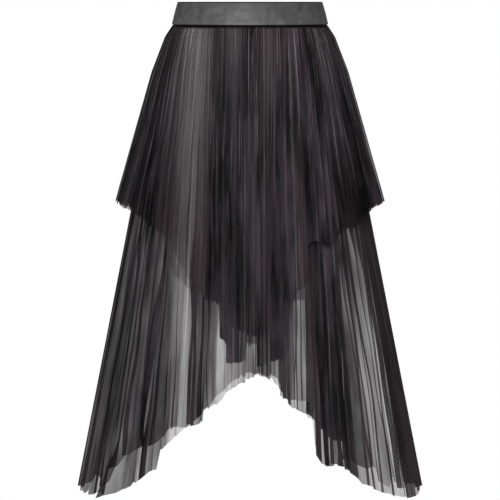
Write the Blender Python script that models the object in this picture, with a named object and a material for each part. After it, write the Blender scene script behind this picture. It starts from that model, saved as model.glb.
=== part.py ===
"""Long skirt of pleated net, filled out as if worn, with nobody in it.

A plain wide elastic waistband holds two tiers that are pleated from top to hem. The upper tier is short at the sides
and long in the middle. The long tier under it is arched in the middle and falls to a point at each side.

Metres, +Z up, the front faces -Y. The origin is the middle of the waistband's ring, halfway up the band. A drop is a
distance down from there, and a share runs from -1 at one side seam to 1 at the other.
"""

import math

import bpy

SKIRT = "long_pleated_skirt"

# Waistband: its outer face, which leans out a little towards the bottom.
BAND_TOP_HALF_WIDTH = 0.123
BAND_BOTTOM_HALF_WIDTH = 0.133
BAND_TOP = -0.0190
BAND_BOTTOM = 0.0195
BAND_SEGMENTS = 96
# Round the band's cut edge: drop, and how far in from the outer face.
BAND_EDGE = (
    (BAND_TOP, 0.0007),
    (BAND_TOP + 0.0006, 0.0),
    (0.0, -0.0004),
    (BAND_BOTTOM - 0.0005, 0.0),
    (BAND_BOTTOM, 0.0006),
    (BAND_BOTTOM, 0.0021),
    (BAND_BOTTOM - 0.0006, 0.0025),
    (BAND_TOP, 0.0019),
)

# A waist is an ellipse, flatter front to back, and it sits lower in front.
FLATNESS = 0.75
WAIST_TILT = 0.124
TILT_GONE_AT = 0.30

# Cloth.
CLOTH_THICK = 0.0018
SEAM_GAP = 0.0003
UNDER_BAND = 0.0054
WAIST_HALF_WIDTH = 0.133
FAN_POWER = 3.3

# Pleats: knife edges pressed from top to hem, deeper lower down.
PLEATS_A_PANEL = 50
PLEAT_DEPTH_TOP = 0.0020
PLEAT_DEPTH_HEM = 0.0090
STEEPEST_PLEAT = 1.2

# Long tier's outer face: drop, half its width, and how much further out the upper tier stands at the sides.
LEVELS = (
    (0.0100, 0.1252, 0.0025),
    (0.0198, 0.1277, 0.0025),
    (0.0400, 0.1400, 0.0036),
    (0.1000, 0.1560, 0.0104),
    (0.3000, 0.1946, 0.0282),
    (0.3400, 0.2024, 0.0310),
    (0.8300, 0.2972, 0.0340),
)
LEVEL_ROWS = (0.0100, 0.0198, 0.0400, 0.1000, 0.3000)
# The upper tier lies flatter in the middle than at the sides.
MIDDLE_LIFT = 0.25

# How close the pleats lie, from one side of the front to the other: share of the waist, pleats against the average.
CLOSENESS = (
    (-0.90, 0.90),
    (-0.84, 1.00),
    (-0.74, 1.40),
    (-0.69, 1.00),
    (-0.59, 0.70),
    (-0.46, 1.20),
    (-0.33, 0.70),
    (0.00, 1.10),
    (0.39, 1.15),
    (0.59, 0.75),
    (0.79, 1.60),
    (0.90, 0.85),
    (1.01, 0.90),
)

# Deep folds, which sink in and grow towards the hem: share of the waist, half width as a share, depth at the hem.
FRONT_FOLDS = (
    (-0.80, 0.07, 0.016),
    (-0.52, 0.06, 0.014),
    (-0.20, 0.10, 0.010),
    (0.17, 0.12, 0.012),
    (0.69, 0.09, 0.022),
    (0.86, 0.03, 0.007),
)
BACK_FOLDS = (
    (-0.84, 0.06, 0.012),
    (-0.60, 0.09, 0.020),
    (-0.28, 0.08, 0.012),
    (0.06, 0.12, 0.016),
    (0.42, 0.08, 0.013),
    (0.74, 0.08, 0.018),
)
FOLDS_START = 0.06
FOLDS_FULL = 0.80

# Hems: share of the half width, drop. The steps are where a deep fold hides part of the cut edge.
LONG_HEM_FRONT = (
    (-1.00, 0.803),
    (-0.91, 0.810),
    (-0.83, 0.801),
    (-0.74, 0.794),
    (-0.65, 0.780),
    (-0.57, 0.758),
    (-0.524, 0.755),
    (-0.519, 0.724),
    (-0.39, 0.688),
    (-0.281, 0.682),
    (-0.273, 0.660),
    (-0.10, 0.626),
    (0.04, 0.602),
    (0.13, 0.605),
    (0.201, 0.617),
    (0.216, 0.637),
    (0.31, 0.646),
    (0.372, 0.649),
    (0.378, 0.713),
    (0.42, 0.750),
    (0.57, 0.755),
    (0.67, 0.787),
    (0.76, 0.800),
    (0.93, 0.813),
    (1.00, 0.803),
)
LONG_HEM_BACK = (
    (-1.00, 0.803),
    (-0.92, 0.808),
    (-0.80, 0.786),
    (-0.70, 0.757),
    (-0.60, 0.748),
    (-0.51, 0.716),
    (-0.42, 0.722),
    (-0.33, 0.700),
    (-0.24, 0.668),
    (-0.12, 0.640),
    (0.00, 0.622),
    (0.10, 0.628),
    (0.20, 0.646),
    (0.29, 0.684),
    (0.40, 0.700),
    (0.50, 0.728),
    (0.60, 0.742),
    (0.70, 0.762),
    (0.82, 0.790),
    (0.92, 0.810),
    (1.00, 0.803),
)
UPPER_HEM_FRONT = (
    (-1.00, 0.320),
    (-0.94, 0.329),
    (-0.77, 0.354),
    (-0.63, 0.377),
    (-0.58, 0.411),
    (-0.52, 0.445),
    (-0.41, 0.464),
    (-0.28, 0.485),
    (-0.177, 0.491),
    (-0.166, 0.545),
    (-0.086, 0.563),
    (0.00, 0.558),
    (0.245, 0.550),
    (0.262, 0.485),
    (0.382, 0.485),
    (0.445, 0.387),
    (0.572, 0.398),
    (0.66, 0.365),
    (0.758, 0.368),
    (0.872, 0.337),
    (1.00, 0.320),
)
UPPER_HEM_BACK = (
    (-1.00, 0.320),
    (-0.90, 0.334),
    (-0.75, 0.362),
    (-0.62, 0.385),
    (-0.50, 0.440),
    (-0.38, 0.476),
    (-0.22, 0.500),
    (-0.14, 0.540),
    (0.00, 0.556),
    (0.15, 0.548),
    (0.25, 0.500),
    (0.40, 0.470),
    (0.52, 0.425),
    (0.64, 0.388),
    (0.78, 0.360),
    (0.90, 0.335),
    (1.00, 0.320),
)

NET_BLACK = (0.016, 0.013, 0.015, 1.0)
BAND_GREY = (0.060, 0.058, 0.059, 1.0)


def clear_scene():
    for old in list(bpy.data.objects):
        bpy.data.objects.remove(old, do_unlink=True)


def between(table, place, column=1):
    """The table's value in this column, at this place in its first column."""
    if place <= table[0][0]:
        return table[0][column]
    for low, high in zip(table, table[1:]):
        if place <= high[0]:
            way = (place - low[0]) / (high[0] - low[0])
            return low[column] + (high[column] - low[column]) * way
    return table[-1][column]


def tilt(drop):
    way = (TILT_GONE_AT - drop) / (TILT_GONE_AT - BAND_BOTTOM)
    return WAIST_TILT * min(max(way, 0.0), 1.0)


def across_at(share, drop):
    """Where a pleat has fanned out to at this drop, as a share of the half width there."""
    half_width = between(LEVELS, drop)
    fanned = math.copysign(abs(share) ** FAN_POWER, share)
    there = WAIST_HALF_WIDTH * share + (half_width - WAIST_HALF_WIDTH) * fanned
    return min(max(there / half_width, -1.0), 1.0)


def fold_depth(folds, share, drop):
    grown = min(max((drop - FOLDS_START) / (FOLDS_FULL - FOLDS_START), 0.0), 1.0)
    return grown * sum(
        depth * math.exp(-(((share - middle) / half) ** 2)) for middle, half, depth in folds
    )


def cloth_point(panel, share, drop, inward):
    """A point of a panel, this far in from the tops of its pleats."""
    half_width = between(LEVELS, drop)
    across = across_at(share, drop)
    out = -inward
    if panel["upper"]:
        top_lift = LEVELS[0][2]
        spread = MIDDLE_LIFT + (1.0 - MIDDLE_LIFT) * abs(share) ** 3
        out += top_lift + (between(LEVELS, drop, 2) - top_lift) * spread
    half_depth = FLATNESS * (half_width + UNDER_BAND) - UNDER_BAND + out
    half_depth -= fold_depth(panel["folds"], share, drop)
    x = (half_width + out) * across
    y = panel["side"] * max(half_depth * math.sqrt(1.0 - across * across), SEAM_GAP / 2)
    return (x, y, tilt(drop) * y - drop)


def pleat_shares(closeness):
    """Shares of the waist for the pleats' outer and inner edges in turn, spaced along the waist by closeness."""
    steps = 2000
    run = [0.0]
    shares = [-1.0]
    for step in range(1, steps + 1):
        angle = math.pi * ((step - 0.5) / steps - 0.5)
        along = math.hypot(math.cos(angle), FLATNESS * math.sin(angle))
        near = next(value for up_to, value in closeness if math.sin(angle) < up_to)
        run.append(run[-1] + along * near)
        shares.append(math.sin(math.pi * (step / steps - 0.5)))
    table = tuple(zip(run, shares))
    edges = 2 * PLEATS_A_PANEL
    return [between(table, run[-1] * edge / edges) for edge in range(edges + 1)]


def hem_drop(hem, share):
    """The drop at which a pleat's line meets the hem."""
    drop = 0.7
    for _ in range(12):
        drop = between(hem, across_at(share, drop))
    return drop


def pleat_depth(drop):
    way = min(max((drop - BAND_BOTTOM) / (0.80 - BAND_BOTTOM), 0.0), 1.0)
    return PLEAT_DEPTH_TOP + (PLEAT_DEPTH_HEM - PLEAT_DEPTH_TOP) * way


def panel_faces(panel):
    """The outer and the inner face of a panel, each a list of rows of points."""
    shares = pleat_shares(panel["closeness"])
    drops = [[drop] * len(shares) for drop in LEVEL_ROWS]
    drops.append([hem_drop(panel["hem"], share) for share in shares])
    outer = []
    inner = []
    for row in drops:
        flat = [cloth_point(panel, share, drop, 0.0) for share, drop in zip(shares, row)]
        outer_row = []
        inner_row = []
        for place, (share, drop) in enumerate(zip(shares, row)):
            sunk = 0.0
            if place % 2:
                gap = min(
                    math.hypot(flat[place][0] - flat[other][0], flat[place][1] - flat[other][1])
                    for other in (place - 1, place + 1)
                )
                sunk = min(pleat_depth(drop), STEEPEST_PLEAT * gap)
            outer_row.append(cloth_point(panel, share, drop, sunk))
            inner_row.append(cloth_point(panel, share, drop, sunk + CLOTH_THICK))
        outer.append(outer_row)
        inner.append(inner_row)
    return outer, inner


def make_object(name, points, faces, material, parent, collection):
    mesh = bpy.data.meshes.new(name)
    mesh.from_pydata(points, [], faces)
    mesh.materials.append(material)
    made = bpy.data.objects.new(name, mesh)
    made.parent = parent
    collection.objects.link(made)
    return made


def make_panel(name, panel, material, parent, collection):
    """A wall of cloth: an outer and an inner face, lofted from the waist down and joined round the four edges."""
    outer, inner = panel_faces(panel)
    rows = len(outer)
    across = len(outer[0])
    points = [point for face in (outer, inner) for row in face for point in row]

    def number(face, row, place):
        return (face * rows + row) * across + place

    # Both faces are split along the same diagonal, which keeps the wall's thickness even.
    faces = []
    for row in range(rows - 1):
        for place in range(across - 1):
            for face in (0, 1):
                a, b, c, d = (
                    number(face, row, place),
                    number(face, row + 1, place),
                    number(face, row + 1, place + 1),
                    number(face, row, place + 1),
                )
                faces.append((a, b, c) if face == 0 else (c, b, a))
                faces.append((a, c, d) if face == 0 else (d, c, a))
    for place in range(across - 1):
        top, hem = 0, rows - 1
        faces.append((number(0, top, place), number(0, top, place + 1), number(1, top, place + 1), number(1, top, place)))
        faces.append((number(0, hem, place + 1), number(0, hem, place), number(1, hem, place), number(1, hem, place + 1)))
    for row in range(rows - 1):
        left, right = 0, across - 1
        faces.append((number(0, row + 1, left), number(0, row, left), number(1, row, left), number(1, row + 1, left)))
        faces.append((number(0, row, right), number(0, row + 1, right), number(1, row + 1, right), number(1, row, right)))
    if panel["side"] > 0:
        faces = [face[::-1] for face in faces]
    return make_object(name, points, faces, material, parent, collection)


def make_waistband(material, parent, collection):
    """The band's edge profile, carried round the waist's ellipse and leaned with the waist."""
    points = []
    for segment in range(BAND_SEGMENTS):
        angle = 2.0 * math.pi * segment / BAND_SEGMENTS
        for drop, inward in BAND_EDGE:
            way = (drop - BAND_TOP) / (BAND_BOTTOM - BAND_TOP)
            half_width = BAND_TOP_HALF_WIDTH + (BAND_BOTTOM_HALF_WIDTH - BAND_TOP_HALF_WIDTH) * way
            x = (half_width - inward) * math.sin(angle)
            y = -(FLATNESS * half_width - inward) * math.cos(angle)
            points.append((x, y, WAIST_TILT * y - drop))
    count = len(BAND_EDGE)
    faces = []
    for segment in range(BAND_SEGMENTS):
        following = (segment + 1) % BAND_SEGMENTS
        for corner in range(count):
            after = (corner + 1) % count
            faces.append((
                segment * count + corner,
                segment * count + after,
                following * count + after,
                following * count + corner,
            ))
    band = make_object("waistband", points, faces, material, parent, collection)
    band.data.shade_smooth()
    band.data.set_sharp_from_angle(angle=math.radians(35))
    return band


def make_material(name, colour, roughness):
    material = bpy.data.materials.new(name)
    material.use_nodes = True
    material.diffuse_color = colour
    shader = material.node_tree.nodes["Principled BSDF"]
    shader.inputs["Base Color"].default_value = colour
    shader.inputs["Roughness"].default_value = roughness
    shader.inputs["Metallic"].default_value = 0.0
    return material


def main():
    clear_scene()
    collection = bpy.data.collections.new(SKIRT)
    bpy.context.scene.collection.children.link(collection)
    waist = bpy.data.objects.new(SKIRT, None)
    collection.objects.link(waist)

    net = make_material("pleated_net", NET_BLACK, 0.65)
    elastic = make_material("elastic_band", BAND_GREY, 0.5)
    back_closeness = [(-low, value) for (low, _), (_, value) in zip(((-1.01, 0),) + CLOSENESS, CLOSENESS)][::-1]

    front = {"side": -1, "folds": FRONT_FOLDS, "closeness": CLOSENESS}
    back = {"side": 1, "folds": BACK_FOLDS, "closeness": back_closeness}
    make_waistband(elastic, waist, collection)
    make_panel("overlay_front", {**front, "upper": True, "hem": UPPER_HEM_FRONT}, net, waist, collection)
    make_panel("overlay_back", {**back, "upper": True, "hem": UPPER_HEM_BACK}, net, waist, collection)
    make_panel("skirt_front", {**front, "upper": False, "hem": LONG_HEM_FRONT}, net, waist, collection)
    make_panel("skirt_back", {**back, "upper": False, "hem": LONG_HEM_BACK}, net, waist, collection)


if __name__ == "__main__":
    main()
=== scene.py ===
"""Looks of a long skirt of pleated net, filled out as if on a wearer, with nobody in it.

Each tier is a thin sheet of black net laid in knife pleats, so that light passes through one layer of net
where a pleat is open and through three or more where it folds over itself. A plain satin elastic holds both
tiers.

Metres, +Z up, the front faces -Y. The origin is the middle of the waistband's ring. A drop is a distance down
from there, and a share runs from -1 at one side seam to 1 at the other.
"""

import math
import random

import bmesh
import bpy
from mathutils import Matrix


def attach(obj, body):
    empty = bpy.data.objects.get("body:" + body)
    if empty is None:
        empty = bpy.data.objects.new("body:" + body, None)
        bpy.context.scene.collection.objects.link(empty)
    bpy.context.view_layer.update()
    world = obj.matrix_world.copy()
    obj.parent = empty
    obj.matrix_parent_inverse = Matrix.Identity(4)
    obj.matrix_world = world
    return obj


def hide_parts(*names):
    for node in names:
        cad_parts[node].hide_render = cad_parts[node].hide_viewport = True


bl_info = {
    "name": "Long Pleated Net Skirt",
    "version": (1, 0, 0),
    "blender": (4, 5, 0),
    "location": "3D View > Sidebar > Net Skirt",
    "description": "Makes the two pleated net tiers, the elastic waistband, the side seams and the studio",
    "category": "Object",
}

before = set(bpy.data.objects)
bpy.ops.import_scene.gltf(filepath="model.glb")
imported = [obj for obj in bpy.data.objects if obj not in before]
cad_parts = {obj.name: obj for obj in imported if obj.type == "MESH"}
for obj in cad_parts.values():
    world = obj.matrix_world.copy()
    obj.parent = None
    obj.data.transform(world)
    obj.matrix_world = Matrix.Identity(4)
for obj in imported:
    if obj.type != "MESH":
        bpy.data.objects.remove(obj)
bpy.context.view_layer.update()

# Waistband, as the solid has it.
BAND_TOP = -0.0190
BAND_BOTTOM = 0.0195
BAND_TOP_HALF_WIDTH = 0.123
BAND_BOTTOM_HALF_WIDTH = 0.133

# Body of the skirt, as the solids have it.
FLATNESS = 0.75
WAIST_TILT = 0.124
TILT_GONE_AT = 0.30
SEAM_GAP = 0.0003
UNDER_BAND = 0.0054
WAIST_HALF_WIDTH = 0.133
FAN_POWER = 3.3
STEEPEST_PLEAT = 1.2
MIDDLE_LIFT = 0.25
FOLDS_START = 0.06
FOLDS_FULL = 0.80
PLEATS_OPEN_AT = 0.80

# Side seams: a bound edge that stands proud of the net. Profile: place across its width, place through its
# thickness.
SEAM_TOP = 0.0215
SEAM_WIDTH = 0.0050
SEAM_THICK = 0.0010
SEAM_PROFILE = (
    (-1.0, -0.2),
    (-0.7, 0.6),
    (0.0, 1.0),
    (0.7, 0.6),
    (1.0, -0.2),
    (0.0, -0.6),
)

# Fine pleats: where the way on to the next one is bent, how uneven the cut ends are, the least cloth for its
# width that stretched net comes to, and how far to a side or up and down a pleat takes its fullness from.
REST_OF_PLEAT = (0.33, 0.67)
HEM_ROUGH = 0.003
TAUTEST = 0.7
STRAY_SHARE = 0.025
STRAY_DROP = 0.07

# Depth of the fine pleats: how much of the solid's large ones they take up, how deep they are against the
# deepest that they could be, how much of that is left in net stretched flat, and how much more cloth than its
# width net has to have to be at its full depth.
TAKEN_UP = 0.6
FINE_DEPTH = 0.8
FLAT_PLEAT = 0.3
LOOSE_NET = 1.5

# How uneven the pleats are. Strays are against a pleat's width, and the rest are the least and the most.
WAIST_STRAY = 0.3
HEM_STRAY = 0.42
LOOSE = (0.8, 1.2)
LOOSER = (0.4, 1.7)
BULGE = (1.05, 1.7)

# How a crease wanders: the most that it strays, against a pleat's width, and its waves from waist to hem. It
# wanders freely once it is this part of the way down.
BENDS = (
    (0.35, 0.6),
    (0.22, 1.7),
    (0.12, 4.3),
)
FREE_BY = 0.25

# A pleat's five points in the material: place across the pleat, and 1 on its outer crease or -1 on its inner.
PLEAT_PLACES = (0.0, 0.15, 0.3, 0.53, 0.77)
PLEAT_CREASES = (1.0, 0.0, -1.0, 0.0, 0.0)

# Rows of points lie closer near the waist: the part that is even, and the part that grows on the way down.
EVEN_ROWS = 0.55
GROWING_ROWS = 0.45

# Where the search for a pleat's place on the hem starts, and its rounds.
HEM_GUESS = 0.7
HEM_ROUNDS = 10

# Waistband's cut edge: radius of its turns, steps down its outer face, and how far that face is hollow.
BAND_TURN = 0.0006
BAND_STEPS = 12
BAND_HOLLOW = 0.0004

# Ripples round the waistband: height, number of them, and where they start.
RIPPLES = (
    (0.00012, 37, 0.0),
    (0.0001, 61, 1.0),
)

# Length of elastic for each radian round the waist.
ELASTIC_RUN = 0.108

# Studio: the round floor, the light of the white room, how far below the waist the lamps aim, and the lamps:
# name, place, size, power.
FLOOR_RADIUS = 1.3
ROOM_LIGHT = 0.21
AIM_DROP = 0.3
LAMPS = (
    ("front_softbox", (-0.35, -3.8, 0.2), 2.2, 175.0),
    ("back_softbox", (0.0, 2.8, 1.0), 1.6, 30.0),
)

# Long tier's outer face: drop, half its width, and how much further out the upper tier stands at the sides.
LEVELS = (
    (0.0100, 0.1252, 0.0025),
    (0.0198, 0.1277, 0.0025),
    (0.0400, 0.1400, 0.0036),
    (0.1000, 0.1560, 0.0104),
    (0.3000, 0.1946, 0.0282),
    (0.3400, 0.2024, 0.0310),
    (0.8300, 0.2972, 0.0340),
)

# How close the pleats lie, across the front: share of the waist, pleats against the average.
CLOSENESS = (
    (-0.90, 0.90),
    (-0.84, 1.00),
    (-0.74, 1.40),
    (-0.69, 1.00),
    (-0.59, 0.70),
    (-0.46, 1.20),
    (-0.33, 0.70),
    (0.00, 1.10),
    (0.39, 1.15),
    (0.59, 0.75),
    (0.79, 1.60),
    (0.90, 0.85),
    (1.01, 0.90),
)

# Width of cloth that the pleats take up for each width of skirt: share of the waist, fullness at the waist,
# fullness at the hem.
LONG_FULLNESS = (
    (-1.00, 4.6, 3.4),
    (-0.94, 6.4, 4.4),
    (-0.90, 3.8, 5.0),
    (-0.86, 1.6, 7.0),
    (-0.82, 0.8, 7.0),
    (-0.78, 0.7, 9.6),
    (-0.74, 0.7, 4.6),
    (-0.70, 0.7, 1.7),
    (-0.66, 0.7, 1.0),
    (-0.61, 0.9, 2.2),
    (-0.58, 1.4, 5.6),
    (-0.50, 1.3, 4.8),
    (-0.475, 2.2, 2.8),
    (-0.445, 2.2, 0.9),
    (-0.32, 2.0, 0.8),
    (-0.15, 1.8, 1.4),
    (0.05, 1.9, 1.9),
    (0.20, 3.0, 3.6),
    (0.28, 2.6, 1.2),
    (0.36, 2.4, 1.8),
    (0.43, 2.8, 6.4),
    (0.47, 1.5, 1.5),
    (0.54, 0.9, 2.2),
    (0.58, 1.0, 1.0),
    (0.61, 2.4, 5.4),
    (0.66, 3.4, 6.4),
    (0.72, 4.0, 5.4),
    (0.79, 1.8, 6.4),
    (0.835, 1.2, 1.8),
    (0.88, 1.2, 1.3),
    (0.92, 1.0, 1.0),
    (0.96, 0.7, 0.7),
    (0.985, 3.0, 3.6),
    (1.00, 4.2, 5.6),
)
UPPER_FULLNESS = (
    (-1.00, 5.4, 6.4),
    (-0.94, 6.0, 9.6),
    (-0.90, 2.2, 5.0),
    (-0.86, 0.7, 3.6),
    (-0.82, 0.7, 2.6),
    (-0.76, 0.7, 0.9),
    (-0.70, 0.7, 0.7),
    (-0.60, 1.0, 0.9),
    (-0.54, 0.9, 0.8),
    (-0.50, 0.8, 2.2),
    (-0.44, 1.2, 4.0),
    (-0.36, 0.7, 4.0),
    (-0.26, 0.7, 6.2),
    (-0.18, 0.7, 6.6),
    (-0.08, 2.2, 2.4),
    (0.00, 2.8, 2.8),
    (0.10, 1.4, 3.6),
    (0.19, 0.7, 1.0),
    (0.28, 1.1, 5.4),
    (0.36, 1.0, 5.4),
    (0.42, 1.4, 7.6),
    (0.47, 1.1, 2.6),
    (0.50, 0.7, 0.7),
    (0.54, 1.6, 0.7),
    (0.58, 2.4, 5.2),
    (0.62, 1.0, 6.4),
    (0.66, 0.8, 6.4),
    (0.70, 0.8, 4.8),
    (0.74, 0.8, 6.2),
    (0.79, 1.1, 2.2),
    (0.86, 1.4, 2.4),
    (0.90, 1.6, 3.4),
    (0.94, 1.8, 4.6),
    (1.00, 3.1, 2.0),
)

# Where a few pleats spring open, or bunch up: share of the waist, drop, half size as a share, half size down,
# change of fullness.
LONG_PATCHES = (
    (-0.95, 0.390, 0.045, 0.055, 3.6),
    (-0.90, 0.365, 0.030, 0.035, 1.8),
    (-0.90, 0.425, 0.030, 0.020, -1.0),
    (-0.86, 0.365, 0.030, 0.050, 2.4),
    (-0.84, 0.440, 0.016, 0.060, -2.4),
    (-0.86, 0.520, 0.020, 0.060, -1.8),
    (-0.82, 0.580, 0.016, 0.080, 1.6),
    (-0.76, 0.700, 0.035, 0.060, 4.2),
    (-0.88, 0.735, 0.060, 0.030, -2.0),
    (-0.83, 0.800, 0.016, 0.050, -5.0),
    (-0.90, 0.860, 0.050, 0.090, 7.0),
    (-0.77, 0.850, 0.030, 0.090, 7.0),
    (-0.58, 0.405, 0.070, 0.050, 2.8),
    (-0.42, 0.440, 0.120, 0.070, 1.8),
    (-0.24, 0.480, 0.060, 0.050, 1.0),
    (-0.38, 0.605, 0.060, 0.025, -0.6),
    (0.05, 0.610, 0.100, 0.012, -0.6),
    (0.22, 0.450, 0.060, 0.070, 1.4),
    (0.44, 0.420, 0.035, 0.090, 3.0),
    (0.67, 0.745, 0.060, 0.025, -3.6),
    (0.71, 0.395, 0.030, 0.050, 1.6),
    (0.74, 0.540, 0.016, 0.060, -2.0),
    (0.81, 0.420, 0.045, 0.070, 2.4),
    (0.82, 0.550, 0.016, 0.050, -1.2),
    (0.90, 0.340, 0.060, 0.040, 2.6),
)
UPPER_PATCHES = (
    (-0.80, 0.290, 0.040, 0.045, 2.0),
    (-0.27, 0.270, 0.040, 0.040, 1.5),
    (0.00, 0.160, 0.050, 0.070, 2.8),
    (0.70, 0.120, 0.020, 0.050, -0.4),
    (0.85, 0.150, 0.060, 0.060, 1.2),
)

# Deep folds, which sink in and grow towards the hem: share of the waist, half width as a share, depth at the
# hem.
FRONT_FOLDS = (
    (-0.80, 0.07, 0.016),
    (-0.52, 0.06, 0.014),
    (-0.20, 0.10, 0.010),
    (0.17, 0.12, 0.012),
    (0.69, 0.09, 0.022),
    (0.86, 0.03, 0.007),
)
BACK_FOLDS = (
    (-0.84, 0.06, 0.012),
    (-0.60, 0.09, 0.020),
    (-0.28, 0.08, 0.012),
    (0.06, 0.12, 0.016),
    (0.42, 0.08, 0.013),
    (0.74, 0.08, 0.018),
)

# Hems, in stretches that each end at a step, where a fold hides part of the cut edge: share of the half
# width, drop.
LONG_HEM_FRONT = (
    (
        (-1.00, 0.803),
        (-0.91, 0.810),
        (-0.83, 0.801),
        (-0.74, 0.794),
        (-0.65, 0.780),
        (-0.57, 0.758),
        (-0.521, 0.755),
    ),
    (
        (-0.521, 0.724),
        (-0.39, 0.688),
        (-0.277, 0.682),
    ),
    (
        (-0.277, 0.660),
        (-0.10, 0.626),
        (0.04, 0.602),
        (0.13, 0.605),
        (0.208, 0.617),
    ),
    (
        (0.208, 0.637),
        (0.31, 0.646),
        (0.375, 0.649),
    ),
    (
        (0.375, 0.713),
        (0.42, 0.750),
        (0.57, 0.755),
        (0.67, 0.787),
        (0.76, 0.800),
        (0.93, 0.813),
        (1.00, 0.803),
    ),
)
LONG_HEM_BACK = (
    (
        (-1.00, 0.803),
        (-0.95, 0.806),
    ),
    (
        (-0.95, 0.794),
        (-0.88, 0.802),
    ),
    (
        (-0.88, 0.814),
        (-0.83, 0.800),
    ),
    (
        (-0.83, 0.780),
        (-0.75, 0.778),
    ),
    (
        (-0.75, 0.766),
        (-0.70, 0.752),
        (-0.60, 0.748),
        (-0.51, 0.716),
        (-0.42, 0.722),
        (-0.33, 0.700),
        (-0.24, 0.668),
        (-0.12, 0.640),
        (0.00, 0.622),
        (0.10, 0.628),
        (0.20, 0.646),
        (0.29, 0.684),
        (0.40, 0.700),
        (0.50, 0.734),
        (0.57, 0.748),
    ),
    (
        (0.57, 0.740),
        (0.64, 0.756),
    ),
    (
        (0.64, 0.774),
        (0.71, 0.790),
    ),
    (
        (0.71, 0.776),
        (0.78, 0.792),
    ),
    (
        (0.78, 0.808),
        (0.84, 0.820),
    ),
    (
        (0.84, 0.802),
        (0.89, 0.806),
    ),
    (
        (0.89, 0.824),
        (0.95, 0.818),
    ),
    (
        (0.95, 0.806),
        (1.00, 0.803),
    ),
)
UPPER_HEM_FRONT = (
    (
        (-1.00, 0.320),
        (-0.94, 0.329),
        (-0.77, 0.354),
        (-0.63, 0.377),
        (-0.58, 0.411),
        (-0.52, 0.445),
        (-0.41, 0.464),
        (-0.28, 0.485),
        (-0.171, 0.491),
    ),
    (
        (-0.171, 0.545),
        (-0.13, 0.566),
    ),
    (
        (-0.13, 0.588),
        (-0.03, 0.580),
    ),
    (
        (-0.03, 0.552),
        (0.055, 0.556),
    ),
    (
        (0.055, 0.592),
        (0.115, 0.586),
    ),
    (
        (0.115, 0.545),
        (0.15, 0.550),
    ),
    (
        (0.15, 0.584),
        (0.253, 0.566),
    ),
    (
        (0.253, 0.485),
        (0.41, 0.485),
    ),
    (
        (0.41, 0.400),
        (0.445, 0.387),
        (0.572, 0.398),
        (0.66, 0.365),
        (0.758, 0.368),
        (0.872, 0.337),
        (1.00, 0.320),
    ),
)
UPPER_HEM_BACK = (
    (
        (-1.00, 0.320),
        (-0.90, 0.334),
        (-0.75, 0.362),
        (-0.62, 0.385),
        (-0.50, 0.440),
        (-0.38, 0.476),
        (-0.22, 0.500),
        (-0.14, 0.540),
        (0.00, 0.556),
        (0.15, 0.548),
        (0.25, 0.500),
        (0.40, 0.470),
        (0.52, 0.425),
        (0.64, 0.388),
        (0.78, 0.360),
        (0.90, 0.335),
        (1.00, 0.320),
    ),
)

# The same closeness from the other side: each step's upper end becomes its lower one.
STEP_STARTS = ((-1.01, 0),) + CLOSENESS
MIRRORED_CLOSENESS = tuple(
    (-start, near) for (start, _), (_, near) in reversed(tuple(zip(STEP_STARTS, CLOSENESS)))
)

# Panels. open_at is the drop where the fullness has grown to the hem's, and laid is the part of it that a
# pleat lays under itself.
FRONT = {"side": -1, "folds": FRONT_FOLDS, "closeness": CLOSENESS}
BACK = {"side": 1, "folds": BACK_FOLDS, "closeness": MIRRORED_CLOSENESS}
LONG = {
    "upper": False,
    "open_at": 0.80,
    "laid": 0.25,
    "full": LONG_FULLNESS,
    "patches": LONG_PATCHES,
}
UPPER = {
    "upper": True,
    "open_at": 0.34,
    "laid": 0.50,
    "full": UPPER_FULLNESS,
    "patches": UPPER_PATCHES,
}
LONG_TIER = (
    ("long_net_front", "skirt_front", {**FRONT, **LONG, "hem": LONG_HEM_FRONT, "seed": 3}),
    ("long_net_back", "skirt_back", {**BACK, **LONG, "hem": LONG_HEM_BACK, "seed": 5}),
)
UPPER_TIER = (
    ("upper_net_front", "overlay_front", {**FRONT, **UPPER, "hem": UPPER_HEM_FRONT, "seed": 11}),
    ("upper_net_back", "overlay_back", {**BACK, **UPPER, "hem": UPPER_HEM_BACK, "seed": 17}),
)


# What the user can change.

class NetSettings(bpy.types.PropertyGroup):
    colour: bpy.props.FloatVectorProperty(
        name="Net colour",
        description="Colour of the net's threads",
        subtype="COLOR",
        size=3,
        min=0.0,
        max=1.0,
        default=(0.0145, 0.0116, 0.0136),
    )
    cover: bpy.props.FloatProperty(
        name="Cover",
        description="How much of the light one flat layer of net stops",
        subtype="FACTOR",
        min=0.0,
        max=1.0,
        default=0.45,
    )
    pleats: bpy.props.IntProperty(
        name="Pleats a panel",
        description="Knife pleats across the front, and as many across the back",
        min=10,
        max=200,
        default=60,
    )
    depth_top: bpy.props.FloatProperty(
        name="Pleat depth, waist",
        description="How far a pleat's inner crease sinks in at the waist",
        unit="LENGTH",
        default=0.0020,
    )
    depth_hem: bpy.props.FloatProperty(
        name="Pleat depth, hem",
        description="How far a pleat's inner crease sinks in at the hem",
        unit="LENGTH",
        default=0.0090,
    )
    rows: bpy.props.IntProperty(
        name="Rows",
        description="Rows of points from the waist to the hem",
        min=8,
        max=120,
        default=46,
    )


class BandSettings(bpy.types.PropertyGroup):
    colour: bpy.props.FloatVectorProperty(
        name="Elastic colour",
        description="Colour of the satin elastic",
        subtype="COLOR",
        size=3,
        min=0.0,
        max=1.0,
        default=(0.0705, 0.0685, 0.0693),
    )
    thick: bpy.props.FloatProperty(
        name="Thickness",
        description="Thickness of the elastic",
        unit="LENGTH",
        default=0.0025,
    )
    segments: bpy.props.IntProperty(
        name="Segments",
        description="Steps round the waist",
        min=48,
        max=720,
        default=360,
    )


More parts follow.
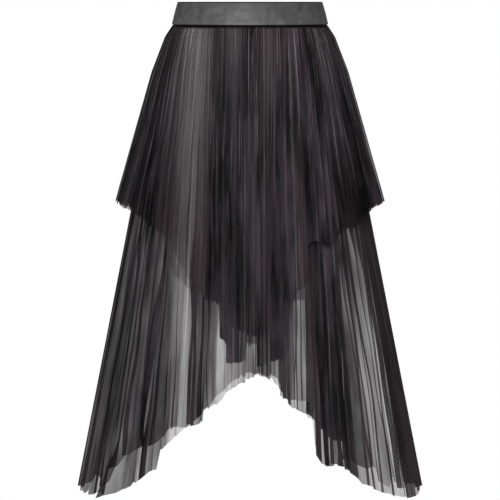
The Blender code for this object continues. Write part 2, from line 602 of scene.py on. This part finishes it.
class StudioSettings(bpy.types.PropertyGroup):
    camera_distance: bpy.props.FloatProperty(
        name="Camera distance",
        description="From the middle of the skirt to the camera",
        unit="LENGTH",
        default=3.4,
    )
    camera_drop: bpy.props.FloatProperty(
        name="Camera drop",
        description="How far below the waist the level camera stands",
        unit="LENGTH",
        default=0.403,
    )
    lens: bpy.props.FloatProperty(
        name="Lens",
        description="Focal length on a 36 mm sensor",
        unit="CAMERA",
        default=144.0,
    )
    floor_drop: bpy.props.FloatProperty(
        name="Floor drop",
        description="How far below the waist the floor lies",
        unit="LENGTH",
        default=1.0,
    )


class SkirtSettings(bpy.types.PropertyGroup):
    net: bpy.props.PointerProperty(type=NetSettings)
    band: bpy.props.PointerProperty(type=BandSettings)
    studio: bpy.props.PointerProperty(type=StudioSettings)


# The skirt's shape.

def between(table, place, column=1):
    """The table's value in this column, at this place in its first column."""
    if place <= table[0][0]:
        return table[0][column]
    for low, high in zip(table, table[1:]):
        if place <= high[0]:
            way = (place - low[0]) / (high[0] - low[0])
            return low[column] + (high[column] - low[column]) * way
    return table[-1][column]


def step_value(table, place, column=1):
    """The value in this column of the first row that reaches past this place."""
    return next((row[column] for row in table if place < row[0]), table[-1][column])


def tilt(drop):
    way = (TILT_GONE_AT - drop) / (TILT_GONE_AT - BAND_BOTTOM)
    return WAIST_TILT * min(max(way, 0.0), 1.0)


def across_at(share, drop):
    """Where a pleat has fanned out to at this drop, as a share of the half width there."""
    half_width = between(LEVELS, drop)
    fanned = math.copysign(abs(share) ** FAN_POWER, share)
    there = WAIST_HALF_WIDTH * share + (half_width - WAIST_HALF_WIDTH) * fanned
    return min(max(there / half_width, -1.0), 1.0)


def fold_depth(folds, share, drop):
    grown = min(max((drop - FOLDS_START) / (FOLDS_FULL - FOLDS_START), 0.0), 1.0)
    return grown * sum(
        depth * math.exp(-(((share - middle) / half) ** 2)) for middle, half, depth in folds
    )


def cloth_point(panel, share, drop, inward):
    """A point of a panel, this far in from the tops of its pleats."""
    share = min(max(share, -1.0), 1.0)
    half_width = between(LEVELS, drop)
    across = across_at(share, drop)
    out = -inward
    if panel["upper"]:
        top_lift = LEVELS[0][2]
        spread = MIDDLE_LIFT + (1.0 - MIDDLE_LIFT) * abs(share) ** 3
        out += top_lift + (between(LEVELS, drop, 2) - top_lift) * spread
    half_depth = FLATNESS * (half_width + UNDER_BAND) - UNDER_BAND + out
    half_depth -= fold_depth(panel["folds"], share, drop)
    x = (half_width + out) * across
    y = panel["side"] * max(half_depth * math.sqrt(1.0 - across * across), SEAM_GAP / 2)
    return (x, y, tilt(drop) * y - drop)


def pleat_shares(closeness, pleats):
    """Shares of the waist for the pleats' outer edges, spaced along the waist by closeness."""
    steps = 2000
    run = [0.0]
    shares = [-1.0]
    for step in range(1, steps + 1):
        angle = math.pi * ((step - 0.5) / steps - 0.5)
        along = math.hypot(math.cos(angle), FLATNESS * math.sin(angle))
        run.append(run[-1] + along * step_value(closeness, math.sin(angle)))
        shares.append(math.sin(math.pi * (step / steps - 0.5)))
    table = tuple(zip(run, shares))
    return [between(table, run[-1] * edge / pleats) for edge in range(pleats + 1)]


def hem_drop(stretch, share):
    """The drop at which a pleat's line meets this stretch of the hem."""
    drop = HEM_GUESS
    for _ in range(HEM_ROUNDS):
        drop = between(stretch, across_at(share, drop))
    return drop


def hem_stretch(hem, share):
    """The stretch of the hem that the pleat at this share belongs to."""
    for stretch in hem:
        if across_at(share, hem_drop(stretch, share)) <= stretch[-1][0]:
            return stretch
    return hem[-1]


def grown_at(drop, full_at=PLEATS_OPEN_AT):
    """0 at the waistband and 1 where the pleats have opened out."""
    return min(max((drop - BAND_BOTTOM) / (full_at - BAND_BOTTOM), 0.0), 1.0)


def fullness_at(panel, share, drop):
    waist = between(panel["full"], share, 1)
    hem = between(panel["full"], share, 2)
    cloth = waist + (hem - waist) * grown_at(drop, panel["open_at"])
    for middle, depth, half_share, half_drop, change in panel["patches"]:
        away = ((share - middle) / half_share) ** 2 + ((drop - depth) / half_drop) ** 2
        cloth += change * math.exp(-away)
    return max(cloth, TAUTEST)


def pleat_fullness(panel, pleat, share, drop):
    """The fullness here, as an uneven hand leaves it: taken from a little to one side, and up or down."""
    return fullness_at(panel, share + pleat["astray"], drop + pleat["late"])


def laid_under(panel, fullness):
    """How much of its own width a pleat lays under itself. Its finer gathers take up the rest."""
    return 0.5 * panel["laid"] * max(fullness - 1.0, 0.0)


def outer_crease(pleat, drop):
    """Share of the waist that a pleat's outer crease has wandered to at this drop."""
    grown = grown_at(drop)
    bends = sum(
        size * math.sin(math.tau * (turns * grown + start)) for size, turns, start in pleat["bends"]
    )
    share = pleat["waist"] + (pleat["ends"] - pleat["waist"]) * grown
    return share + bends * pleat["gap"] * min(grown / FREE_BY, 1.0)


def inner_crease(panel, pleat, outer, drop, fullness):
    """Share of a pleat's inner crease, which lies behind its outer one."""
    loose = pleat["loose"] + (pleat["looser"] - pleat["loose"]) * grown_at(drop)
    return max(outer - laid_under(panel, fullness) * loose * pleat["gap"] * pleat["free"], -1.0)


def across_pleat(outer, inner, after):
    """Values at a pleat's five points, from those at its two creases and at the next pleat's outer one."""
    onward = [inner + (after - inner) * part for part in REST_OF_PLEAT]
    return [outer, (outer + inner) / 2, inner] + onward


def make_pleats(panel, net):
    """The pleats across a panel, as dicts.

    waist and ends are the shares of a pleat's outer crease at the waist and the hem, gap is the width behind
    it, and bends says how it wanders on the way. free is 0 where the pleat is sewn into a side seam. loose
    and looser are how much more or less cloth than most it lays under itself, at the waist and the hem, and
    bulge is how round its way on to the next one is. astray and late say where it takes its fullness from.
    hems are the drops of its cut end at its outer crease, half way under, at its inner crease, and at two
    places on the way to the next pleat.
    """
    rng = random.Random(panel["seed"])
    ridges = pleat_shares(panel["closeness"], net.pleats)
    gaps = [after - before for before, after in zip(ridges, ridges[1:])]
    last = len(ridges) - 1
    pleats = []
    for number, ridge in enumerate(ridges):
        gap = gaps[max(number - 1, 0)]
        free = 1.0 if 0 < number < last else 0.0
        waist = ridge + rng.uniform(-WAIST_STRAY, WAIST_STRAY) * gap * free
        pleats.append({
            "waist": waist,
            "ends": waist + rng.uniform(-HEM_STRAY, HEM_STRAY) * gap * free,
            "gap": gap,
            "free": free,
            "bends": [(rng.uniform(0.0, size) * free, turns, rng.random()) for size, turns in BENDS],
            "loose": rng.uniform(*LOOSE),
            "looser": rng.uniform(*LOOSER),
            "bulge": rng.uniform(*BULGE),
            "astray": rng.uniform(-STRAY_SHARE, STRAY_SHARE),
            "late": rng.uniform(-STRAY_DROP, STRAY_DROP),
        })
    for pleat, following in zip(pleats, pleats[1:]):
        middle = (pleat["waist"] + following["waist"]) / 2
        stretch = hem_stretch(panel["hem"], middle)
        deep = hem_drop(stretch, middle)
        outer = outer_crease(pleat, deep)
        inner = inner_crease(panel, pleat, outer, deep, pleat_fullness(panel, pleat, outer, deep))
        after = outer_crease(following, deep)
        rough = rng.uniform(-HEM_ROUGH, HEM_ROUGH)
        sag = rng.uniform(-HEM_ROUGH, HEM_ROUGH)
        places = across_pleat(outer, inner, after)
        lower = across_pleat(rough, rough + sag, rough)
        pleat["hems"] = [hem_drop(stretch, share) + more for share, more in zip(places, lower)]
    pleats[-1]["hems"] = [hem_drop(panel["hem"][-1], pleats[-1]["waist"])]
    return pleats


def sunk_at(places, share, wide, drop, fullness, net):
    """How far in the solid's large pleats put the fine ones, and how deep the fine ones are.

    Two fine pleats make a large one.
    """
    deepest = net.depth_top + (net.depth_hem - net.depth_top) * grown_at(drop)
    fine = min(deepest, STEEPEST_PLEAT * wide)
    large = max(min(deepest, 2.0 * STEEPEST_PLEAT * wide) - TAKEN_UP * fine, 0.0)
    wave = 0.5 - 0.5 * math.cos(math.pi * between(places, share))
    taut = min(FLAT_PLEAT + (1.0 - FLAT_PLEAT) * max(fullness - 1.0, 0.0) / LOOSE_NET, 1.0)
    return large * wave * taut, FINE_DEPTH * fine * taut


def row_of_points(panel, pleats, places, way, net):
    """One row of a panel's points, with their drops and gathers. way is 0 at the waist and 1 at the hem."""
    top = LEVELS[0][0]
    points = []
    drops = []
    gathers = []
    for number, pleat in enumerate(pleats):
        levels = [top + (hem - top) * way for hem in pleat["hems"]]
        outer = outer_crease(pleat, levels[0])
        fullness = pleat_fullness(panel, pleat, outer, levels[0])
        shares = [outer]
        if number + 1 < len(pleats):
            inner = inner_crease(panel, pleat, outer, levels[0], fullness)
            after = outer_crease(pleats[number + 1], levels[0])
            shares = across_pleat(outer, inner, after)
        beside = outer - math.copysign(pleat["gap"] / 2, outer)
        here = cloth_point(panel, outer, levels[0], 0.0)
        there = cloth_point(panel, beside, levels[0], 0.0)
        wide = math.hypot(here[0] - there[0], here[1] - there[1])
        sinks = [0.0, 0.5, 1.0] + [(1.0 - part) ** pleat["bulge"] for part in REST_OF_PLEAT]
        for share, drop, sink in zip(shares, levels, sinks):
            large, fine = sunk_at(places, share, wide, drop, fullness, net)
            points.append(cloth_point(panel, share, drop, large + sink * fine))
            drops.append(drop)
            gathers.append(fullness / (1.0 + 2.0 * laid_under(panel, fullness)))
    return points, drops, gathers


def make_object(name, points, faces, material, smooth_angle=None):
    mesh = bpy.data.meshes.new(name)
    mesh.from_pydata(points, [], faces)
    mesh.materials.append(material)
    mesh.update()
    if smooth_angle is not None:
        mesh.shade_smooth()
        mesh.set_sharp_from_angle(angle=math.radians(smooth_angle))
    made = bpy.data.objects.new(name, mesh)
    bpy.context.scene.collection.objects.link(made)
    return made


def store(mesh, name, values):
    mesh.attributes.new(name, "FLOAT", "POINT").data.foreach_set("value", values)


def make_tier_sheet(name, panel, net, material):
    """One panel of pleated net, as an open sheet one layer thick."""
    pleats = make_pleats(panel, net)
    places = tuple((pleat["waist"], float(number)) for number, pleat in enumerate(pleats))
    points = []
    drops = []
    gathers = []
    for row in range(net.rows):
        way = row / (net.rows - 1)
        way *= EVEN_ROWS + GROWING_ROWS * way
        row_points, row_drops, row_gathers = row_of_points(panel, pleats, places, way, net)
        points += row_points
        drops += row_drops
        gathers += row_gathers
    count = len(points) // net.rows
    faces = []
    for row in range(net.rows - 1):
        for place in range(count - 1):
            corner = row * count + place
            face = (corner, corner + count, corner + count + 1, corner + 1)
            faces.append(face if panel["side"] < 0 else face[::-1])
    sheet = make_object(name, points, faces, material, smooth_angle=75)
    across = [number + place for number in range(net.pleats) for place in PLEAT_PLACES]
    creases = list(PLEAT_CREASES) * net.pleats
    store(sheet.data, "drop", drops)
    store(sheet.data, "gathers", gathers)
    store(sheet.data, "pleat", (across + [net.pleats]) * net.rows)
    store(sheet.data, "crease", (creases + [1.0]) * net.rows)
    return sheet


def make_side_seams(name, panel, net, material):
    """A narrow bound seam down each side of a tier, from just under the waistband to the hem."""
    bottom = panel["hem"][0][0][1]
    points = []
    faces = []
    for side in (-1.0, 1.0):
        for row in range(net.rows):
            drop = SEAM_TOP + (bottom - SEAM_TOP) * row / (net.rows - 1)
            x, _, z = cloth_point(panel, side, drop, 0.0)
            for across, proud in SEAM_PROFILE:
                points.append((x + side * proud * SEAM_THICK, across * SEAM_WIDTH / 2, z))
    count = len(SEAM_PROFILE)
    for row in range(2 * net.rows):
        first = row * count
        if row % net.rows == 0:
            faces.append(tuple(range(first, first + count)))
        if row % net.rows == net.rows - 1:
            faces.append(tuple(range(first + count - 1, first - 1, -1)))
            continue
        for corner in range(count):
            after = (corner + 1) % count
            faces.append((first + corner, first + count + corner, first + count + after, first + after))
    seams = make_object(name, points, faces, material, smooth_angle=50)
    shape = bmesh.new()
    shape.from_mesh(seams.data)
    bmesh.ops.recalc_face_normals(shape, faces=shape.faces)
    shape.to_mesh(seams.data)
    shape.free()
    return seams


# Finishes.

# Net: its darkest and lightest runs, partly the net's uneven tone and partly painted shade and sheen, and its
# painted glint lines, against its colour, then the brown cast of one layer and the near black of the painted
# shadow under the waistband.
NET_SHADE = (0.12, 0.14, 0.135)
NET_LIGHT = (2.85, 2.75, 2.85)
NET_PAINTED_GLINT = (15.0, 15.5, 15.0)
NET_THIN = (0.040, 0.027, 0.029)
NET_UNDER_BAND_SHADOW = (0.0015, 0.0015, 0.0015)


def new_material(name):
    """An empty material with a shader and its output, and two helpers that add and join its nodes."""
    material = bpy.data.materials.new(name)
    material.use_nodes = True
    tree = material.node_tree
    shader = tree.nodes["Principled BSDF"]

    def node(kind, **values):
        made = tree.nodes.new(kind)
        for key, value in values.items():
            setattr(made, key, value)
        return made

    def join(source, target):
        tree.links.new(source, target)

    return material, shader, node, join


def net_material(name, net, seed, pressed, browned):
    """Fine net: single threads with light between them, a little closer along pressed creases.

    pressed is how sharp the creases are, and browned is how many layers it takes to hide the net's brown
    cast.
    """
    material, shader, node, join = new_material(name)
    pleat = node("ShaderNodeAttribute", attribute_name="pleat")
    drop = node("ShaderNodeAttribute", attribute_name="drop")
    crease = node("ShaderNodeAttribute", attribute_name="crease")
    gathers = node("ShaderNodeAttribute", attribute_name="gathers")

    def sum_of(operation, first, second, third=0.0, clamp=False):
        made = node("ShaderNodeMath", operation=operation, use_clamp=clamp)
        for socket, source in zip(made.inputs, (first, second, third)):
            if isinstance(source, float):
                socket.default_value = source
            else:
                join(source, socket)
        return made.outputs["Value"]

    def ranged(source, low, high, bottom, top):
        made = node("ShaderNodeMapRange")
        join(source, made.inputs["Value"])
        for key, value in (("From Min", low), ("From Max", high), ("To Min", bottom), ("To Max", top)):
            made.inputs[key].default_value = value
        return made.outputs["Result"]

    def streaks(across, down, start):
        """Noise drawn out along the pleats: features across for each pleat, features down for each metre."""
        place = node("ShaderNodeCombineXYZ")
        place.inputs["Z"].default_value = seed + start
        join(sum_of("MULTIPLY", pleat.outputs["Fac"], across), place.inputs["X"])
        join(sum_of("MULTIPLY", drop.outputs["Fac"], down), place.inputs["Y"])
        noise = node("ShaderNodeTexNoise")
        noise.inputs["Scale"].default_value = 1.0
        noise.inputs["Detail"].default_value = 3.0
        noise.inputs["Roughness"].default_value = 0.62
        join(place.outputs["Vector"], noise.inputs["Vector"])
        return noise.outputs["Fac"]

    # Uneven tension: denser and thinner streaks that follow the pleats.
    tension = streaks(0.80, 3.5, 0.0)
    cloth = ranged(tension, 0.32, 0.68, net.cover * 0.66, net.cover * 1.42)

    # The net's own holes, about 1.4 mm across.
    where = node("ShaderNodeTexCoord")
    holes = node("ShaderNodeTexVoronoi", feature="DISTANCE_TO_EDGE")
    holes.inputs["Scale"].default_value = 700.0
    join(where.outputs["Object"], holes.inputs["Vector"])
    threads = ranged(holes.outputs["Distance"], 0.02, 0.22, 1.06, 0.96)
    woven = sum_of("MULTIPLY", cloth, threads)
    sharp = sum_of("MULTIPLY", ranged(streaks(0.80, 3.0, 30.0), 0.40, 0.60, 0.2, 1.7), pressed)
    creased = sum_of("POWER", sum_of("ABSOLUTE", crease.outputs["Fac"], 0.0), 3.0)
    creased = sum_of("MULTIPLY_ADD", creased, sharp, woven)
    through = sum_of("POWER", sum_of("SUBTRACT", 1.0, creased), gathers.outputs["Fac"])

    # Bunched close under the waistband, with an uneven edge: more opaque there, and near black as painted
    # shadow under the band.
    edge = sum_of("MULTIPLY_ADD", tension, 0.004, drop.outputs["Fac"])
    gathered_and_shadowed = ranged(edge, 0.0250, 0.0280, 1.0, 0.0)
    most = sum_of("MULTIPLY_ADD", gathered_and_shadowed, 0.8, 1.0)
    join(sum_of("SUBTRACT", most, through, clamp=True), shader.inputs["Alpha"])

    def mixed(factor, first, second):
        made = node("ShaderNodeMix", data_type="RGBA")
        join(factor, made.inputs[0])
        join(first, made.inputs[6])
        made.inputs[7].default_value = (*second, 1.0)
        return made.outputs[2]

    # Broad and narrow runs of lighter and darker black, partly the net's uneven tone and partly painted sheen
    # and shade on the folds, browner where few layers lie together. Near the waist, painted highlights: thin
    # light lines along some outer creases.
    tone = node("ShaderNodeValToRGB")
    for element, place, tint in zip(tone.color_ramp.elements, (0.435, 0.605), (NET_SHADE, NET_LIGHT)):
        element.position = place
        element.color = (*(part * share for part, share in zip(net.colour, tint)), 1.0)
    narrow = sum_of("MULTIPLY", streaks(1.4, 5.0, 10.0), 0.45)
    join(sum_of("MULTIPLY_ADD", streaks(0.25, 4.0, 40.0), 0.55, narrow), tone.inputs["Fac"])
    thin = mixed(ranged(gathers.outputs["Fac"], 0.8, browned, 0.7, 0.0), tone.outputs["Color"], NET_THIN)
    # Painted glint lines: a lighter colour mixed in along some outer creases near the waist.
    outside = sum_of("POWER", sum_of("MAXIMUM", crease.outputs["Fac"], 0.0), 2.5)
    lit = ranged(streaks(0.9, 5.0, 20.0), 0.48, 0.58, 0.0, 1.0)
    high = ranged(drop.outputs["Fac"], 0.05, 0.30, 1.0, 0.1)
    painted_glints = sum_of("MULTIPLY", sum_of("MULTIPLY", outside, lit), high)
    bright = mixed(painted_glints, thin, [part * share for part, share in zip(net.colour, NET_PAINTED_GLINT)])
    # Painted shadow: the net's top edge under the waistband is coloured near black.
    join(mixed(gathered_and_shadowed, bright, NET_UNDER_BAND_SHADOW), shader.inputs["Base Color"])
    shader.inputs["Roughness"].default_value = 0.62
    shader.inputs["Specular IOR Level"].default_value = 0.08
    shader.inputs["Sheen Weight"].default_value = 0.015
    shader.inputs["Sheen Roughness"].default_value = 0.5
    return material


def seam_material(net):
    """Net bound over itself and stitched down, so that no light comes through."""
    material, shader, node, join = new_material("bound_seam")
    where = node("ShaderNodeTexCoord")
    stitches = node("ShaderNodeTexWave", bands_direction="Z")
    stitches.inputs["Scale"].default_value = 120.0
    stitches.inputs["Distortion"].default_value = 0.4
    join(where.outputs["Object"], stitches.inputs["Vector"])
    tone = node("ShaderNodeValToRGB")
    for element, level in zip(tone.color_ramp.elements, (0.5, 1.3)):
        element.color = (*(part * level for part in net.colour), 1.0)
    join(stitches.outputs["Fac"], tone.inputs["Fac"])
    join(tone.outputs["Color"], shader.inputs["Base Color"])
    bump = node("ShaderNodeBump")
    bump.inputs["Strength"].default_value = 0.4
    bump.inputs["Distance"].default_value = 0.0004
    join(stitches.outputs["Fac"], bump.inputs["Height"])
    join(bump.outputs["Normal"], shader.inputs["Normal"])
    shader.inputs["Roughness"].default_value = 0.7
    shader.inputs["Specular IOR Level"].default_value = 0.12
    return material


def elastic_material(band):
    """Satin-faced woven elastic: fine crosswise ribs, a soft mottle of painted sheen, and darker edges:
    painted shade along the bottom, where the band sits over the net, and a near-black line along the top.
    """
    material, shader, node, join = new_material("satin_elastic")
    height = node("ShaderNodeAttribute", attribute_name="height")
    along = node("ShaderNodeAttribute", attribute_name="along")

    place = node("ShaderNodeCombineXYZ")
    join(along.outputs["Fac"], place.inputs["X"])
    tall = node("ShaderNodeMath", operation="MULTIPLY")
    tall.inputs[1].default_value = BAND_BOTTOM - BAND_TOP
    join(height.outputs["Fac"], tall.inputs[0])
    join(tall.outputs["Value"], place.inputs["Y"])

    def ramped(source, steps, tint=(1.0, 1.0, 1.0)):
        made = node("ShaderNodeValToRGB")
        while len(made.color_ramp.elements) < len(steps):
            made.color_ramp.elements.new(0.5)
        for element, (position, level) in zip(made.color_ramp.elements, steps):
            element.position = position
            element.color = (*(part * level for part in tint), 1.0)
        join(source, made.inputs["Fac"])
        return made.outputs["Color"]

    def times(first, second):
        made = node("ShaderNodeMix", data_type="RGBA", blend_type="MULTIPLY")
        made.inputs[0].default_value = 1.0
        join(first, made.inputs[6])
        join(second, made.inputs[7])
        return made.outputs[2]

    def cloudy(scale, detail, distortion):
        made = node("ShaderNodeTexNoise")
        made.inputs["Scale"].default_value = scale
        made.inputs["Detail"].default_value = detail
        made.inputs["Roughness"].default_value = 0.6
        made.inputs["Distortion"].default_value = distortion
        join(place.outputs["Vector"], made.inputs["Vector"])
        return made.outputs["Fac"]

    # Painted sheen: broad lighter and darker patches in the colour, standing in for the sheen and shade of
    # the satin's slight wrinkles.
    sheen_mottle = ramped(cloudy(40.0, 4.0, 1.2), ((0.30, 0.62), (0.50, 0.94), (0.70, 1.40)), band.colour)
    grain = ramped(cloudy(420.0, 2.0, 0.0), ((0.30, 0.90), (0.70, 1.10)))
    # Darker along both edges: painted shade along the bottom, where the band sits over the net, and a
    # near-black line along the top.
    darker_edges = ramped(height.outputs["Fac"], ((0.0, 0.35), (0.04, 1.0), (0.93, 1.0), (0.965, 0.08)))
    join(times(times(sheen_mottle, grain), darker_edges), shader.inputs["Base Color"])

    ribs = node("ShaderNodeTexWave", bands_direction="X")
    ribs.inputs["Scale"].default_value = 260.0
    ribs.inputs["Distortion"].default_value = 0.3
    join(place.outputs["Vector"], ribs.inputs["Vector"])
    bump = node("ShaderNodeBump")
    bump.inputs["Strength"].default_value = 0.12
    bump.inputs["Distance"].default_value = 0.0003
    join(ribs.outputs["Fac"], bump.inputs["Height"])
    join(bump.outputs["Normal"], shader.inputs["Normal"])
    shader.inputs["Roughness"].default_value = 0.45
    shader.inputs["Specular IOR Level"].default_value = 0.35
    return material


# The pieces.

class SkirtOperator:
    bl_options = {"REGISTER", "UNDO"}


def hang_tier(tier, net, material, seams_name):
    """Hang a tier's two panels and its side seams, which go with its front panel."""
    seams = make_side_seams(seams_name, tier[0][2], net, seam_material(net))
    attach(seams, "root")
    for name, node, panel in tier:
        sheet = make_tier_sheet(name, panel, net, material)
        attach(sheet, "root")
        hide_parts(node)


class SKIRT_OT_long_tier(SkirtOperator, bpy.types.Operator):
    """Hang the long tier, front and back"""

    bl_idname = "net_skirt.long_tier"
    bl_label = "Long Tier"

    def execute(self, context):
        net = context.scene.net_skirt.net
        material = net_material("long_net", net, seed=1.0, pressed=0.15, browned=2.6)
        hang_tier(LONG_TIER, net, material, "long_side_seams")
        return {"FINISHED"}


class SKIRT_OT_upper_tier(SkirtOperator, bpy.types.Operator):
    """Hang the short upper tier, front and back"""

    bl_idname = "net_skirt.upper_tier"
    bl_label = "Upper Tier"

    def execute(self, context):
        net = context.scene.net_skirt.net
        material = net_material("upper_net", net, seed=7.0, pressed=0.40, browned=1.5)
        hang_tier(UPPER_TIER, net, material, "upper_side_seams")
        return {"FINISHED"}


class SKIRT_OT_waistband(SkirtOperator, bpy.types.Operator):
    """Make the wide elastic waistband"""

    bl_idname = "net_skirt.waistband"
    bl_label = "Waistband"

    def execute(self, context):
        band = context.scene.net_skirt.band
        # Round the cut edge: height from the bottom as a share of the band, and how far in from its face.
        thick = band.thick
        turn = BAND_TURN
        edge = []
        for step in range(BAND_STEPS + 1):
            share = step / BAND_STEPS
            edge.append((0.02 + 0.96 * share, -BAND_HOLLOW * math.sin(math.pi * share)))
        edge += [(0.995, turn * 0.4), (1.0, turn * 1.2), (1.0, thick - turn), (0.98, thick)]
        edge += [(0.5, thick), (0.02, thick), (0.0, thick - turn), (0.0, turn), (0.006, turn * 0.3)]
        points = []
        heights = []
        alongs = []
        for segment in range(band.segments):
            angle = 2.0 * math.pi * segment / band.segments
            ripple = sum(high * math.sin(number * angle + start) for high, number, start in RIPPLES)
            for share, inward in edge:
                drop = BAND_BOTTOM + (BAND_TOP - BAND_BOTTOM) * share
                drawn_in = (BAND_BOTTOM_HALF_WIDTH - BAND_TOP_HALF_WIDTH) * share
                half_width = BAND_BOTTOM_HALF_WIDTH - drawn_in
                inset = inward - ripple * math.sin(math.pi * share)
                x = (half_width - inset) * math.sin(angle)
                y = -(FLATNESS * half_width - inset) * math.cos(angle)
                points.append((x, y, WAIST_TILT * y - drop))
                heights.append(share)
                alongs.append(ELASTIC_RUN * angle)
        count = len(edge)
        faces = []
        for segment in range(band.segments):
            following = (segment + 1) % band.segments
            for corner in range(count):
                after = (corner + 1) % count
                faces.append((
                    segment * count + corner,
                    following * count + corner,
                    following * count + after,
                    segment * count + after,
                ))
        ring = make_object("satin_waistband", points, faces, elastic_material(band), smooth_angle=50)
        store(ring.data, "height", heights)
        store(ring.data, "along", alongs)
        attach(ring, "root")
        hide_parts("waistband")
        return {"FINISHED"}


class SKIRT_OT_studio(SkirtOperator, bpy.types.Operator):
    """Set up the pale floor, the soft lights and the camera"""

    bl_idname = "net_skirt.studio"
    bl_label = "Studio"

    def execute(self, context):
        studio = context.scene.net_skirt.studio
        scene = context.scene

        mesh = bpy.data.meshes.new("pale_floor")
        shape = bmesh.new()
        bmesh.ops.create_circle(shape, cap_ends=True, segments=96, radius=FLOOR_RADIUS)
        bmesh.ops.translate(shape, verts=shape.verts, vec=(0.0, 0.0, -studio.floor_drop))
        shape.to_mesh(mesh)
        shape.free()
        floor = bpy.data.objects.new("pale_floor", mesh)
        scene.collection.objects.link(floor)
        paper, shader, _, _ = new_material("pale_paper")
        shader.inputs["Base Color"].default_value = (0.86, 0.86, 0.86, 1.0)
        shader.inputs["Roughness"].default_value = 0.9
        mesh.materials.append(paper)

        world = bpy.data.worlds.new("white_studio")
        world.use_nodes = True
        tree = world.node_tree
        background = tree.nodes["Background"]
        background.inputs["Color"].default_value = (1.0, 1.0, 1.0, 1.0)
        seen = tree.nodes.new("ShaderNodeLightPath")
        level = tree.nodes.new("ShaderNodeMapRange")
        level.inputs["To Min"].default_value = ROOM_LIGHT
        level.inputs["To Max"].default_value = 1.0
        tree.links.new(seen.outputs["Is Camera Ray"], level.inputs["Value"])
        tree.links.new(level.outputs["Result"], background.inputs["Strength"])
        scene.world = world

        for name, place, size, power in LAMPS:
            light = bpy.data.lights.new(name, "AREA")
            light.energy = power
            light.size = size
            lamp = bpy.data.objects.new(name, light)
            lamp.location = place
            lamp.visible_camera = False
            aim = -lamp.location.copy()
            aim.z -= AIM_DROP
            lamp.rotation_euler = aim.to_track_quat("-Z", "Y").to_euler()
            scene.collection.objects.link(lamp)

        view = bpy.data.cameras.new("photo_view")
        view.lens = studio.lens
        view.sensor_width = 36.0
        view.clip_end = 50.0
        camera = bpy.data.objects.new("photo_view", view)
        camera.location = (0.0, -studio.camera_distance, -studio.camera_drop)
        camera.rotation_euler = (math.radians(90.0), 0.0, 0.0)
        scene.collection.objects.link(camera)
        scene.camera = camera
        scene.view_settings.view_transform = "Standard"
        scene.cycles.transparent_max_bounces = 64
        return {"FINISHED"}


class SKIRT_PT_panel(bpy.types.Panel):
    bl_idname = "SKIRT_PT_panel"
    bl_label = "Net Skirt"
    bl_space_type = "VIEW_3D"
    bl_region_type = "UI"
    bl_category = "Net Skirt"

    def draw(self, context):
        settings = context.scene.net_skirt
        layout = self.layout
        for group, names in (
            (settings.net, ("colour", "cover", "pleats", "depth_top", "depth_hem", "rows")),
            (settings.band, ("colour", "thick", "segments")),
            (settings.studio, ("camera_distance", "camera_drop", "lens", "floor_drop")),
        ):
            box = layout.box()
            for name in names:
                box.prop(group, name)
        for operator in OPERATORS:
            layout.operator(operator.bl_idname)


OPERATORS = (SKIRT_OT_waistband, SKIRT_OT_long_tier, SKIRT_OT_upper_tier, SKIRT_OT_studio)
CLASSES = (NetSettings, BandSettings, StudioSettings, SkirtSettings) + OPERATORS + (SKIRT_PT_panel,)


def register():
    for each in CLASSES:
        bpy.utils.register_class(each)
    bpy.types.Scene.net_skirt = bpy.props.PointerProperty(type=SkirtSettings)


def unregister():
    del bpy.types.Scene.net_skirt
    for each in reversed(CLASSES):
        bpy.utils.unregister_class(each)


def main():
    register()
    bpy.ops.net_skirt.waistband()
    bpy.ops.net_skirt.long_tier()
    bpy.ops.net_skirt.upper_tier()
    bpy.ops.net_skirt.studio()


if __name__ == "__main__":
    main()
